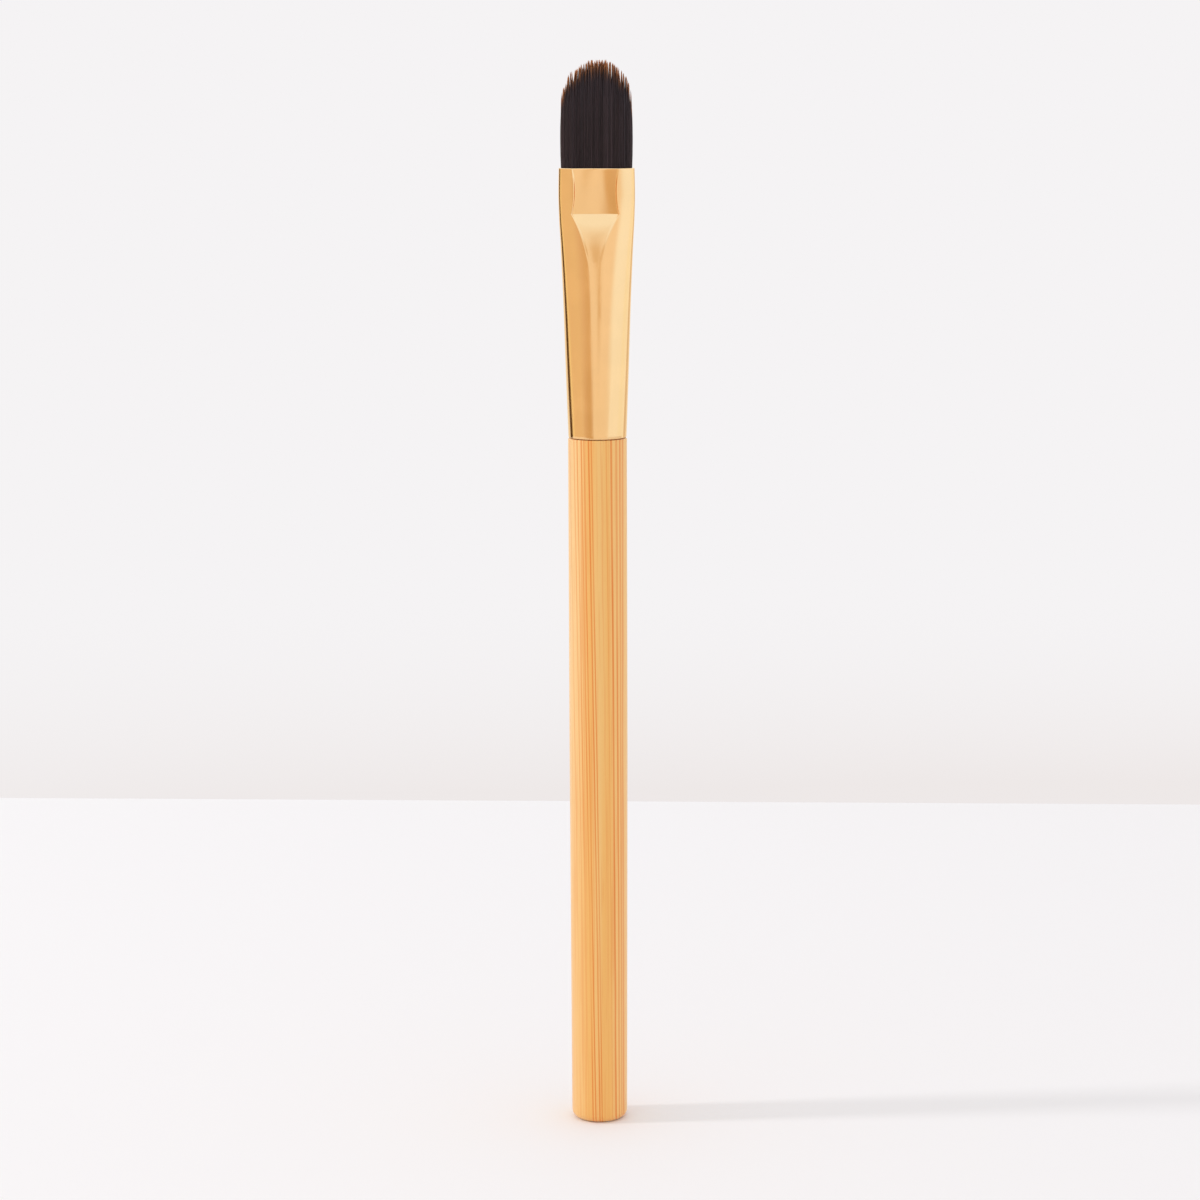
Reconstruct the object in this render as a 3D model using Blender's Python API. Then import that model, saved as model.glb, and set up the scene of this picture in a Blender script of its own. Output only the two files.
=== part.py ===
"""Flat concealer brush, standing on its butt.

A turned bamboo handle ends in a tapered tenon. A drawn metal ferrule slides over the tenon, runs from
round to oval, and has a pressed panel on its front and back below the mouth, with a ramp and a long
tongue below it. A filbert tuft of filaments rises from the mouth, bound at its root in resin. Metres, +Z
up the brush. The flat faces look along -Y and +Y, and the width runs along X.
"""

import math

import bmesh
import bpy
import numpy as np
from mathutils.geometry import delaunay_2d_cdt

# The brush from its butt up
HANDLE_LENGTH = 0.0995
FERRULE_LENGTH = 0.0376
TUFT_LENGTH = 0.0149

# Clearance between pieces that are bonded together
FIT_GAP = 0.0001

# Handle: parallel below the ferrule, then a slight taper to the butt
NECK_DIAMETER = 0.0083
BUTT_DIAMETER = 0.0080
TAPER_LENGTH = 0.055
BUTT_EDGE_RADIUS = 0.0012
NECK_EDGE_RADIUS = 0.00025
TENON_LENGTH = 0.012
TENON_TOP_DIAMETER = 0.0060
TENON_CHAMFER = 0.0005

# Adhesive round the tenon, at its thinnest
GLUE_THICKNESS = 0.0001

# Ferrule: the oval tube before its panels are pressed
WALL = 0.0003
ROUND_DIAMETER = 0.00815
SWELL_WIDTH = 0.01073
SWELL_DROP = 0.0037
MOUTH_WIDTH = 0.01062
MOUTH_THICKNESS = 0.0048
RIM_EDGE = 0.00008

# Ovals of the tube from its widest place to its round end. Each row is the share of that length, the
# share of the way from the round width to the widest, and the share of the way from the mouth's
# thickness to the round one
TAPER_SHARES = (
    (0.00, 1.00, 0.00),
    (0.08, 0.95, 0.06),
    (0.22, 0.76, 0.32),
    (0.45, 0.50, 0.62),
    (0.72, 0.27, 0.85),
    (1.00, 0.00, 1.00),
)

# Ferrule: the pressed panels, narrower at mid height and a little dished, and the ramp below each
PANEL_LENGTH = 0.0063
PANEL_WIDTH = 0.0066
PANEL_WAIST = 0.00585
PANEL_THICKNESS = 0.0037
PANEL_WALL = 0.0002
PANEL_DISH = 0.00018
PANEL_STEP = 0.0011

# Ferrule: the tongue that runs down from each ramp, flattest at its top
TONGUE_LENGTH = 0.0140
TONGUE_END_WIDTH = 0.0010
TONGUE_FLATNESS_SHARE = 0.6

# Resin and the slice of it that holds the filaments
SLICE_DROP = 0.0010
SLICE_THICKNESS = 0.0020
RESIN_LENGTH = 0.0080

# Filaments, on a lattice of equal triangles that is a little disturbed
STRAND_WIDTH = 0.00019
STRAND_GAP = 0.000052
STRAND_SHIFT_SHARE = 0.16
BUNDLE_MARGIN = 0.00006
DOME_HEIGHT = 0.0076
DOME_SHIFT = 0.0003
RAGGED_LENGTH = 0.0004
DOME_EXPONENT = 2.7
BACK_DROP_SHARE = 0.07
STRAND_SIDES = 3
STRAND_SEED = 4
MERGE_DISTANCE = 0.00000001

# How the filaments lie along the tuft: the share of its length, the spread across the width and the
# spread through the thickness, as shares of their places at the mouth
SPREAD_SHARES = (
    (0.00, 1.00, 1.00),
    (0.20, 1.05, 1.06),
    (0.45, 1.05, 0.98),
    (0.75, 1.03, 0.66),
    (1.00, 1.01, 0.36),
)

# Where each filament has a ring of corners above its foot, as shares of its own length, and the share of
# its width there
STRAND_RING_SHARES = ((0.36, 1.00), (0.88, 0.80))

# Smoothness of the faceted surfaces
TURNED_SIDES = 64
EDGE_STEPS = 5
CENTRE_STEPS = 5
SIDE_STEPS = 9
RAMP_STEPS = 3
SMOOTH_DEGREES = 35

# Rings of the ferrule down from its widest place, as shares of the length to the round end
RING_SHARES = (0.15, 0.20, 0.26, 0.33, 0.41, 0.49, 0.60, 0.72, 0.86)

MOUTH_HEIGHT = HANDLE_LENGTH + FERRULE_LENGTH
TENON_DIAMETER = ROUND_DIAMETER - 2 * (WALL + GLUE_THICKNESS + 2 * FIT_GAP)
STRAND_PITCH = STRAND_WIDTH + STRAND_GAP


def lerp(start, end, share):
    return start + (end - start) * share


def curve_through(rows, at):
    """Values at a place on smooth curves through rows of (place, value, value ...), with no overshoot."""
    rows = np.array(rows)
    places = rows[:, 0]
    values = rows[:, 1:]
    steps = np.diff(places)[:, None]
    slopes = np.diff(values, axis=0) / steps
    product = slopes[:-1] * slopes[1:]
    total = slopes[:-1] + slopes[1:]
    inner = np.where(product > 0, 2 * product / np.where(product > 0, total, 1), 0)
    tangents = np.vstack([slopes[:1], inner, slopes[-1:]])
    i = int(np.clip(np.searchsorted(places, at) - 1, 0, len(steps) - 1))
    t = (at - places[i]) / steps[i]
    return (
        (2 * t**3 - 3 * t**2 + 1) * values[i]
        + (t**3 - 2 * t**2 + t) * steps[i] * tangents[i]
        + (3 * t**2 - 2 * t**3) * values[i + 1]
        + (t**3 - t**2) * steps[i] * tangents[i + 1]
    )


def tube_sections():
    """Rows of the unpressed tube: drop below the mouth, half-width, half-depth."""
    rows = [(0, MOUTH_WIDTH / 2, MOUTH_THICKNESS / 2)]
    for down, width, depth in TAPER_SHARES:
        rows.append(
            (
                lerp(SWELL_DROP, FERRULE_LENGTH, down),
                lerp(ROUND_DIAMETER, SWELL_WIDTH, width) / 2,
                lerp(MOUTH_THICKNESS, ROUND_DIAMETER, depth) / 2,
            )
        )
    return rows


TUBE = tube_sections()


def oval_depth(x, half_width, half_depth):
    """Depth of an oval at a distance x from its middle."""
    return half_depth * (1 - (x / half_width) ** 2) ** 0.5


def way_down(drop, start, length):
    """How far a drop is down a stretch that starts at another: 0 above it, 1 below it."""
    return min(max((drop - start) / length, 0), 1)


def facet_half_width(drop):
    """Half-width of the panel, drawn in at mid height, or of the tongue below it."""
    if drop < PANEL_LENGTH:
        middle = 1 - (2 * drop / PANEL_LENGTH - 1) ** 2
        return lerp(PANEL_WIDTH, PANEL_WAIST, middle) / 2
    left = 1 - way_down(drop, PANEL_LENGTH, TONGUE_LENGTH)
    return lerp(TONGUE_END_WIDTH, PANEL_WIDTH, left**3) / 2


def facet_depth(x, drop, inset):
    """Depth of the panel or tongue at a distance x from its middle, on the outline drawn in by inset.

    The panel is dished across, most at the mouth. Past its lower edge a ramp that starts steep and ends
    soft rises to the tongue, which is flattened and takes on the oval's own crown towards its end.
    """
    half_width, half_depth = curve_through(TUBE, drop)
    oval = (half_width - inset, half_depth - inset)
    facet = facet_half_width(drop)
    dish = PANEL_DISH * (1 - way_down(drop, 0, PANEL_LENGTH)) * (1 - (x / facet) ** 2)
    panel = PANEL_THICKNESS / 2 - inset - dish
    flatness = TONGUE_FLATNESS_SHARE * (1 - way_down(drop, PANEL_LENGTH, TONGUE_LENGTH))
    tongue = lerp(oval_depth(x, *oval), oval_depth(facet, *oval), flatness)
    risen = 1 - (1 - way_down(drop, PANEL_LENGTH, PANEL_STEP)) ** 2
    return lerp(panel, tongue, risen)


def ferrule_ring(drop, inset):
    """Corners of the ferrule's outline at a drop below the mouth, drawn in by inset."""
    half_width, half_depth = curve_through(TUBE, drop) - inset
    facet = facet_half_width(drop)
    turn = np.linspace(0, math.acos((facet + PANEL_WALL) / half_width), SIDE_STEPS + 1)
    side_x = half_width * np.cos(turn)
    side_y = half_depth * np.sin(turn)
    middle_x = np.linspace(facet, 0, CENTRE_STEPS + 1)
    middle_y = facet_depth(middle_x, drop, inset)
    x = np.concatenate([side_x, middle_x])
    y = np.concatenate([side_y, middle_y])
    ring_x = np.concatenate([x, -x[-2::-1], -x[1:], x[-2:0:-1]])
    ring_y = np.concatenate([y, y[-2::-1], -y[1:], -y[-2:0:-1]])
    ring_z = np.full(len(ring_x), -drop)
    return np.column_stack([ring_x, ring_y, ring_z])


def ring_drops(first, last):
    """Drops of the rings between two drops, both included, at the same places for every inner piece."""
    panel_rings = [PANEL_LENGTH / 4, PANEL_LENGTH / 2, PANEL_LENGTH * 3 / 4, PANEL_LENGTH]
    ramp_rings = [PANEL_LENGTH + PANEL_STEP * (i + 1) / RAMP_STEPS for i in range(RAMP_STEPS)]
    lower_rings = [lerp(SWELL_DROP, FERRULE_LENGTH, share) for share in RING_SHARES]
    between = [d for d in [*panel_rings, *ramp_rings, *lower_rings] if first < d < last]
    return [first, *between, last]


def round_ring(radius, height):
    angle = np.arange(TURNED_SIDES) * 2 * math.pi / TURNED_SIDES
    flat = np.full(TURNED_SIDES, height)
    return np.column_stack([radius * np.cos(angle), radius * np.sin(angle), flat])


def add_walls(bm, rings, closed=False):
    """Quads between rings given from the top down, and from the last to the first if closed."""
    loops = [[bm.verts.new(corner) for corner in ring] for ring in rings]
    pairs = list(zip(loops, loops[1:]))
    if closed:
        pairs.append((loops[-1], loops[0]))
    for upper, lower in pairs:
        for i in range(len(upper)):
            bm.faces.new((upper[i - 1], lower[i - 1], lower[i], upper[i]))
    return loops


def finished(bm, mesh_name):
    mesh = bpy.data.meshes.new(mesh_name)
    bm.to_mesh(mesh)
    bm.free()
    return mesh


def skin(mesh_name, rings, closed=False):
    """Mesh of quads between rings given from the top down. Its ends are capped unless it is closed."""
    bm = bmesh.new()
    loops = add_walls(bm, rings, closed)
    if not closed:
        bm.faces.new(loops[0])
        bm.faces.new(loops[-1][::-1])
    return finished(bm, mesh_name)


def material(name, color, roughness, metallic):
    made = bpy.data.materials.new(name)
    made.use_nodes = True
    shader = made.node_tree.nodes["Principled BSDF"]
    shader.inputs["Base Color"].default_value = (*color, 1)
    shader.inputs["Roughness"].default_value = roughness
    shader.inputs["Metallic"].default_value = metallic
    return made


def place(name, mesh, finish, parent, height):
    """Puts a mesh in the scene as a named piece, at a height on the brush's axis."""
    mesh.materials.append(finish)
    mesh.shade_smooth()
    mesh.set_sharp_from_angle(angle=math.radians(SMOOTH_DEGREES))
    piece = bpy.data.objects.new(name, mesh)
    piece.location.z = height
    piece.parent = parent
    bpy.context.scene.collection.objects.link(piece)
    return piece


def handle_mesh():
    """Turned handle: flat butt, rounded edge, slight taper, rounded shoulder and tapered tenon."""
    neck = NECK_DIAMETER / 2
    butt = BUTT_DIAMETER / 2
    tenon = TENON_DIAMETER / 2
    tenon_top = TENON_TOP_DIAMETER / 2
    tenon_end = HANDLE_LENGTH + TENON_LENGTH
    profile = [
        (tenon_top - TENON_CHAMFER, tenon_end),
        (tenon_top, tenon_end - TENON_CHAMFER),
        (tenon, HANDLE_LENGTH - FIT_GAP),
    ]
    quarter = [math.pi / 2 * step / EDGE_STEPS for step in range(EDGE_STEPS + 1)]
    for turn in quarter:
        out = neck - NECK_EDGE_RADIUS * (1 - math.sin(turn))
        up = HANDLE_LENGTH - FIT_GAP - NECK_EDGE_RADIUS * (1 - math.cos(turn))
        profile.append((out, up))
    profile.append((neck, TAPER_LENGTH))
    for turn in quarter:
        out = butt - BUTT_EDGE_RADIUS * (1 - math.cos(turn))
        up = BUTT_EDGE_RADIUS * (1 - math.sin(turn))
        profile.append((out, up))
    return skin("handle", [round_ring(radius, height) for radius, height in profile])


def ferrule_mesh():
    """Tube wall: down the outside, across the round rim, up the inside and across the mouth's rim."""
    outer_drops = ring_drops(RIM_EDGE, FERRULE_LENGTH - RIM_EDGE)
    outside = [ferrule_ring(0, RIM_EDGE)]
    outside += [ferrule_ring(drop, 0) for drop in outer_drops]
    outside.append(ferrule_ring(FERRULE_LENGTH, RIM_EDGE))
    inside = [ferrule_ring(drop, WALL) for drop in reversed(ring_drops(0, FERRULE_LENGTH))]
    return skin("ferrule", outside + inside, closed=True)


def plug_mesh(mesh_name, top, bottom):
    """Solid plug that fills the ferrule between two drops, clear of the wall by the fit gap."""
    inset = WALL + FIT_GAP
    return skin(mesh_name, [ferrule_ring(drop, inset) for drop in ring_drops(top, bottom)])


def handle_glue_mesh():
    """Sleeve between the tenon's cone and the ferrule's inner wall, from the shoulder to the tenon's top."""
    sleeve_top = FERRULE_LENGTH - TENON_LENGTH + TENON_CHAMFER
    drops = ring_drops(sleeve_top, FERRULE_LENGTH)
    outside = [ferrule_ring(drop, WALL + FIT_GAP) for drop in drops]
    inside = []
    for ring, drop in zip(outside, drops):
        up = (FERRULE_LENGTH - drop) / (FERRULE_LENGTH - sleeve_top)
        tenon = lerp(TENON_DIAMETER, TENON_TOP_DIAMETER, up) / 2
        angle = np.arctan2(ring[:, 1], ring[:, 0])
        across = (tenon + FIT_GAP) * np.column_stack([np.cos(angle), np.sin(angle)])
        inside.append(np.column_stack([across, ring[:, 2]]))
    return skin("handle_glue", outside + inside[::-1], closed=True)


def bundle_depth(x, inset):
    """Half-thickness of the packed filaments at the slice's top, at a distance x from the middle."""
    if x < facet_half_width(SLICE_DROP):
        return facet_depth(x, SLICE_DROP, inset)
    half_width, half_depth = curve_through(TUBE, SLICE_DROP) - inset
    return oval_depth(x, half_width, half_depth)


def strand_places():
    """Places of the filaments across the bundle: rows of a staggered lattice, the middle filament first."""
    inset = WALL + FIT_GAP + BUNDLE_MARGIN + STRAND_WIDTH / 2
    half_width = MOUTH_WIDTH / 2 - inset
    row_pitch = STRAND_PITCH * math.sin(math.pi / 3)
    rows = int(PANEL_THICKNESS / 2 / row_pitch)
    columns = int(half_width / STRAND_PITCH)
    places = []
    for row in range(-rows, rows + 1):
        y = row * row_pitch
        stagger = STRAND_PITCH / 2 * (row % 2)
        for column in range(-columns - 1, columns + 1):
            x = column * STRAND_PITCH + stagger
            if abs(x) < half_width and abs(y) < bundle_depth(abs(x), inset):
                places.append((x, y))
    return sorted(places, key=lambda spot: math.hypot(*spot))


def strand_length(x, y):
    """Height of a filament's tip above the mouth: a dome across the width, lower towards the faces."""
    half_width = MOUTH_WIDTH / 2 - WALL
    across = abs(x - DOME_SHIFT * (1 - (x / half_width) ** 2)) / half_width
    through = y / (PANEL_THICKNESS / 2)
    dome = DOME_HEIGHT * (1 - across**2) ** (1 / DOME_EXPONENT)
    return (TUFT_LENGTH - DOME_HEIGHT + dome) * (1 - BACK_DROP_SHARE * through**2)


def strand_rings(x, y, length, turn):
    """Corners of one filament from its foot up, and its tip. It follows the spread of the whole tuft."""
    angle = turn + np.arange(STRAND_SIDES) * 2 * math.pi / STRAND_SIDES
    levels = [(-SLICE_DROP, 1)]
    levels += [(share * length, width) for share, width in STRAND_RING_SHARES]
    rings = []
    for height, width in levels:
        wide, deep = curve_through(SPREAD_SHARES, max(height, 0) / TUFT_LENGTH)
        radius = STRAND_WIDTH / 2 * width
        ring_x = x * wide + radius * np.cos(angle)
        ring_y = (y + radius * np.sin(angle)) * deep
        rings.append(np.column_stack([ring_x, ring_y, np.full(STRAND_SIDES, height)]))
    wide, deep = curve_through(SPREAD_SHARES, length / TUFT_LENGTH)
    return rings, (x * wide, y * deep, length)


def add_strand(bm, rings, tip):
    """Adds one filament, open at its foot, and gives the corners of its foot."""
    loops = add_walls(bm, rings[::-1])
    point = bm.verts.new(tip)
    for i in range(STRAND_SIDES):
        bm.faces.new((loops[0][i - 1], loops[0][i], point))
    return loops[-1]


def fill_round_feet(bm, rim, feet):
    """Triangles of a flat top between its rim and the feet that stand on it."""
    loops = [rim, *feet]
    corners = [corner for loop in loops for corner in loop]
    starts = np.cumsum([0] + [len(loop) for loop in loops[:-1]])
    outlines = [list(range(start, start + len(loop))) for start, loop in zip(starts, loops)]
    flat = [corner.co.xy for corner in corners]
    found = delaunay_2d_cdt(flat, [], outlines, 1, MERGE_DISTANCE)
    for triangle, owners in zip(found[2], found[5]):
        if owners == [0]:
            bm.faces.new([corners[found[3][i][0]] for i in triangle])


def tuft_mesh():
    """The slice of resin with the filaments standing on it, as one closed skin."""
    random = np.random.default_rng(STRAND_SEED)
    shift = STRAND_GAP * STRAND_SHIFT_SHARE
    drops = ring_drops(SLICE_DROP, SLICE_DROP + SLICE_THICKNESS)
    bm = bmesh.new()
    walls = add_walls(bm, [ferrule_ring(drop, WALL + FIT_GAP) for drop in drops])
    bm.faces.new(walls[-1][::-1])
    feet = []
    shorter = 0
    for x, y in strand_places():
        shift_x, shift_y = random.uniform(-shift, shift, 2)
        turn = random.uniform(0, 2 * math.pi)
        length = strand_length(x, y) - shorter
        feet.append(add_strand(bm, *strand_rings(x + shift_x, y + shift_y, length, turn)))
        shorter = random.uniform(0, RAGGED_LENGTH)
    fill_round_feet(bm, walls[0], feet)
    return finished(bm, "bristle_tuft")


def main():
    for old in list(bpy.data.objects):
        bpy.data.objects.remove(old)
    brush = bpy.data.objects.new("brush", None)
    bpy.context.scene.collection.objects.link(brush)

    bamboo = material("bamboo", (0.82, 0.47, 0.17), 0.42, 0)
    gold = material("polished_gold", (0.90, 0.60, 0.30), 0.10, 1)
    filament = material("filament", (0.035, 0.020, 0.019), 0.38, 0)
    resin = material("resin", (0.62, 0.50, 0.30), 0.25, 0)
    glue = material("glue", (0.75, 0.70, 0.58), 0.35, 0)

    place("handle", handle_mesh(), bamboo, brush, 0)
    place("ferrule", ferrule_mesh(), gold, brush, MOUTH_HEIGHT)
    place("bristle_tuft", tuft_mesh(), filament, brush, MOUTH_HEIGHT)
    resin_top = SLICE_DROP + SLICE_THICKNESS + FIT_GAP
    resin_mesh = plug_mesh("resin_bed", resin_top, resin_top + RESIN_LENGTH)
    place("resin_bed", resin_mesh, resin, brush, MOUTH_HEIGHT)
    place("handle_glue", handle_glue_mesh(), glue, brush, MOUTH_HEIGHT)


main()
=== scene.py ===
"""Flat concealer brush, dressed for rendering.

A turned bamboo handle, a polished gold ferrule that runs from round to flat, and a flat domed tuft of
dark filaments with brown tips. The brush stands on its butt, with +Z up it. Its flat faces look along
-Y and +Y, and its width runs along X. All lengths are metres.
"""

import math

import bpy
import numpy as np
from bpy.props import FloatProperty, FloatVectorProperty, IntProperty, PointerProperty
from mathutils import Matrix, Vector


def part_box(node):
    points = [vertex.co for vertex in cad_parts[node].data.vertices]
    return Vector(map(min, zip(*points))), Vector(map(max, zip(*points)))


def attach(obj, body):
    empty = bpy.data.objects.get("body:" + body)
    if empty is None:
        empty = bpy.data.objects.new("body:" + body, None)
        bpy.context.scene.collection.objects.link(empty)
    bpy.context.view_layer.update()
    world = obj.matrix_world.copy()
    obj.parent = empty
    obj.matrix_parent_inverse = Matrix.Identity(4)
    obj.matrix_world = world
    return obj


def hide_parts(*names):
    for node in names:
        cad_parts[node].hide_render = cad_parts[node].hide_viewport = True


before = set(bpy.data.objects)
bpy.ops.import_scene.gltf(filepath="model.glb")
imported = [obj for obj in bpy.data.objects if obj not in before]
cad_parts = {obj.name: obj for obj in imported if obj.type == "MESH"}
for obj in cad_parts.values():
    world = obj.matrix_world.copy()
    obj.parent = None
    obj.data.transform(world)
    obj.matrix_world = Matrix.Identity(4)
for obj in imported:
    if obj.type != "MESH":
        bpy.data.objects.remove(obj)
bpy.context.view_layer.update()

bl_info = {
    "name": "Flat concealer brush",
    "version": (1, 0, 0),
    "blender": (4, 5, 0),
    "location": "3D Viewport > Sidebar > Brush",
    "description": "Makes a flat concealer brush with its materials, light and camera",
    "category": "Add Mesh",
}

BUTT_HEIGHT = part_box("handle")[0].z
NECK_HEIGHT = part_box("ferrule")[0].z
MOUTH_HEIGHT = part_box("ferrule")[1].z
TIP_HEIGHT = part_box("bristle_tuft")[1].z
TENON_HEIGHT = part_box("handle")[1].z
TUFT_LENGTH = TIP_HEIGHT - MOUTH_HEIGHT

# Small gaps: the handle's shoulder below the metal, resin inside it, a filament's middle inside it
SHOULDER_GAP = 0.0001
RESIN_GAP = 0.0001
FILAMENT_GAP = 0.00013

# Values of the handle

# Numbers of points along the stretches of its outline, and round it
EDGE_POINTS = 13
TENON_POINTS = 12
SHANK_POINTS = 24
TAPER_POINTS = 30
FACE_POINTS = 8
TURNED_COLUMNS = 192

# Strong fibres as they lie at one height: place across the width, half-width, strength
STRONG_FIBRES = (
    (-0.00307, 0.00007, 0.5),
    (-0.00238, 0.00008, 0.65),
    (-0.00190, 0.00009, 0.85),
    (-0.00128, 0.00010, 1.0),
    (-0.00088, 0.00010, 1.0),
    (-0.00021, 0.00012, 1.0),
    (0.00019, 0.00010, 0.9),
    (0.00135, 0.00006, 0.3),
    (0.00195, 0.00007, 0.5),
    (0.00251, 0.00013, 1.0),
    (0.00304, 0.00012, 0.9),
    (0.00342, 0.00009, 0.8),
    (0.00368, 0.00009, 0.8),
)

# That height, how much less they lean for each metre further right, and how far they wander aside
STRONG_FIBRE_HEIGHT = 0.0537
STRONG_FIBRE_FAN = 4.0
STRONG_FIBRE_WANDER = 0.00012

# Painted sheen for the key lamp's light on the left: the bamboo is paler on the left, ending between two
# places across, and paler upwards between two heights.
# Strong fibres at the left of two other places fade downwards between two heights.
PAINTED_SHEEN_ACROSS = (-0.0030, -0.0005)
PAINTED_SHEEN_UP = (0.02, 0.08)
FADE_ACROSS = (-0.0009, -0.0006)
FADE_UP = (0.025, 0.055)

# Values of the ferrule

# The tube from its widest place to its round end: the share of that length, of the way from the round
# width to the widest, and of the way from the oval's thickness to the round one
TUBE_TAPER = (
    (0.00, 1.00, 0.00),
    (0.08, 0.95, 0.06),
    (0.22, 0.76, 0.32),
    (0.45, 0.50, 0.62),
    (0.72, 0.27, 0.85),
    (1.00, 0.00, 1.00),
)

# The rise from a panel's lower edge to the tongue: the share of the ramp's height, of its rise
RAMP_RISE = (
    (0.000, 0.000),
    (0.008, 0.035),
    (0.084, 0.600),
    (0.147, 0.770),
    (0.221, 0.862),
    (0.305, 0.908),
    (0.389, 0.934),
    (0.495, 0.952),
    (0.663, 0.974),
    (0.832, 0.988),
    (1.000, 1.000),
)

# The share of its depth that a panel's dish loses down to its lower edge
DISH_LOSS = 0.42

# Numbers of rows along the stretches of the wall, and how far rows keep from the ramp's start and end
PANEL_ROWS = 34
RAMP_ROWS = 36
TONGUE_ROWS = 56
TUBE_ROWS = 44
INSIDE_ROWS = 60
LIP_ROWS = 6
PLUG_ROWS = 17
ABOVE_RAMP = 0.00005
BELOW_RAMP = 0.0001

# Numbers of columns round a quarter of the wall. The powers draw rows together where the ramp starts, and
# columns where the narrow side ends.
SIDE_COLUMNS = 34
CREASE_COLUMNS = 11
MIDDLE_COLUMNS = 25
RAMP_POWER = 1.6
SIDE_POWER = 0.9

# Values of the tuft

# The spread of the filaments along the tuft: the share of its length, across the width, through the
# thickness
TUFT_SPREAD = (
    (0.00, 1.000, 1.00),
    (0.05, 1.018, 1.03),
    (0.25, 1.032, 1.06),
    (0.50, 1.022, 0.96),
    (0.75, 1.010, 0.66),
    (1.00, 1.000, 0.36),
)

# Each filament: the share of its length, and of its thickness
FILAMENT_TAPER = (
    (0.00, 1.00),
    (0.06, 1.00),
    (0.25, 1.00),
    (0.50, 1.00),
    (0.70, 0.98),
    (0.84, 0.86),
    (0.93, 0.62),
    (0.98, 0.34),
)

# The domed end: the place from its peak to its side, the share of its height that it falls
TUFT_DOME = (
    (0.000, 0.000),
    (0.170, 0.004),
    (0.383, 0.062),
    (0.507, 0.120),
    (0.616, 0.179),
    (0.722, 0.250),
    (0.848, 0.370),
    (0.909, 0.480),
    (0.972, 0.680),
    (1.000, 1.000),
)

# Partings at the tips: place across the width, half-width, how far they reach down
PARTINGS = (
    (-0.00420, 0.00009, 0.0018),
    (-0.00318, 0.00024, 0.0026),
    (-0.00205, 0.00004, 0.0010),
    (-0.00070, 0.00005, 0.0013),
    (0.00085, 0.00003, 0.0009),
    (0.00196, 0.00004, 0.0009),
    (0.00290, 0.00011, 0.0018),
)

# The bundle's area as a multiple of half its width times half its thickness, and the scatter of the roots
# as a share of their pitch
BUNDLE_AREA = 3.55
ROOT_SCATTER = 0.22

# How far tips fall short with their lock and by themselves, and how far the dome is raised for that, as
# shares of the raggedness, and the shortest filament as a share of the tuft's length
LOCK_SHORT = 0.60
FILAMENT_SHORT = 0.55
DOME_RAISE = 1.2
SHORTEST = 0.3

# How much depth counts in the choice of a lock, the share of the clumping in depth, and the shares of the
# dome's height between which filaments draw into their locks
LOCK_DEPTH = 0.02
CLUMP_DEPTH = 0.5
GATHER_SHARES = (0.66, 1.02)

# The random lean of a tip, the height over which the bundle fans out above the panels, how far a parting
# is felt in half-widths, and the least and largest share of a filament's thickness
TIP_LEAN = 0.00003
FAN_HEIGHT = 0.0025
PARTING_FADE = 2.5
THICKNESS_RANGE = (0.8, 1.15)

# How much of what a filament lacks is cut from its brown stretch, and the share of its lock in its tone
TIP_CUT = 0.35
LOCK_TONE = 0.15

# Values of the room

# What the metal mirrors round the brush: degrees from -Y towards +X, light. The left and right parts hold
# at any height. Of the parts between them, one is at the brush's own height and one is lower down.
CEILING = (1.08, 1.24, 1.48)
BACK = (0.98, 0.90, 0.72)
CARD = (0.79, 0.61, 0.40)
LEFT_PART = (
    (-180, BACK),
    (-130, BACK),
    (-126, (0.10, 0.05, 0.02)),
    (-110, (0.10, 0.05, 0.02)),
    (-106, (1.04, 0.94, 0.62)),
    (-98, (1.04, 0.94, 0.62)),
    (-94, (0.91, 0.75, 0.55)),
)
LEVEL_PART = (
    (-50, (0.91, 0.77, 0.57)),
    (-42, (0.89, 0.74, 0.55)),
    (-34, (0.85, 0.67, 0.50)),
    (-26, (0.81, 0.62, 0.42)),
    (-17.5, (0.80, 0.60, 0.38)),
    (-14.5, (1.02, 0.96, 0.92)),
    (34, (1.02, 0.96, 0.92)),
    (44, CEILING),
    (85, CEILING),
)
LOWER_PART = (
    (-54, (0.91, 0.76, 0.56)),
    (-46, (0.84, 0.67, 0.49)),
    (-38, (0.77, 0.58, 0.40)),
    (-30, (0.71, 0.52, 0.31)),
    (-12, (0.71, 0.52, 0.31)),
    (-9, (0.98, 0.92, 0.84)),
    (44, (0.98, 0.92, 0.84)),
    (51, (1.08, 1.20, 1.35)),
    (85, (1.08, 1.20, 1.35)),
)
RIGHT_PART = (
    (97, (1.08, 1.18, 1.22)),
    (126, (1.08, 1.18, 1.22)),
    (131, (0.82, 0.71, 0.56)),
    (147, (0.82, 0.71, 0.56)),
    (151, BACK),
    (180, BACK),
)

# Degrees up between which the lower part turns into the level one, and both into the ceiling
LEVEL_UP = (-4.5, -1.0)
CEILING_UP = (5.0, 27.0)

# The level part shifts to the left by up to LEAN degrees between two heights, in full before the first of
# two places round the brush and not at all past the second
LEAN = 16.0
LEAN_UP = (2.0, 22.0)
LEAN_AROUND = (-5, 20)

# The dark card in degrees: its middle at two heights, half its width without and with its soft edge, and
# the heights between which it starts and fades out
CARD_UP = (-2.0, 9.0)
CARD_MIDDLES = (12.2, -5.4)
CARD_EDGE = (2.5, 6.0)
CARD_START = (-0.6, 1.2)
CARD_FADE = (2.0, 27.0)

# The angles up between which painted shade darkens the wall towards its foot, and how strongly it does so
# at two sides
WALL_SHADE_UP = (math.radians(-12.7), math.radians(-9.0))
WALL_SIDES = (-0.28, 0.08)
WALL_SHADE_STRENGTHS = (0.8, 1.2)


def color_property(name, description, default):
    return FloatVectorProperty(
        name=name, description=description, default=default, subtype="COLOR", size=3, min=0, max=1
    )


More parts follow.
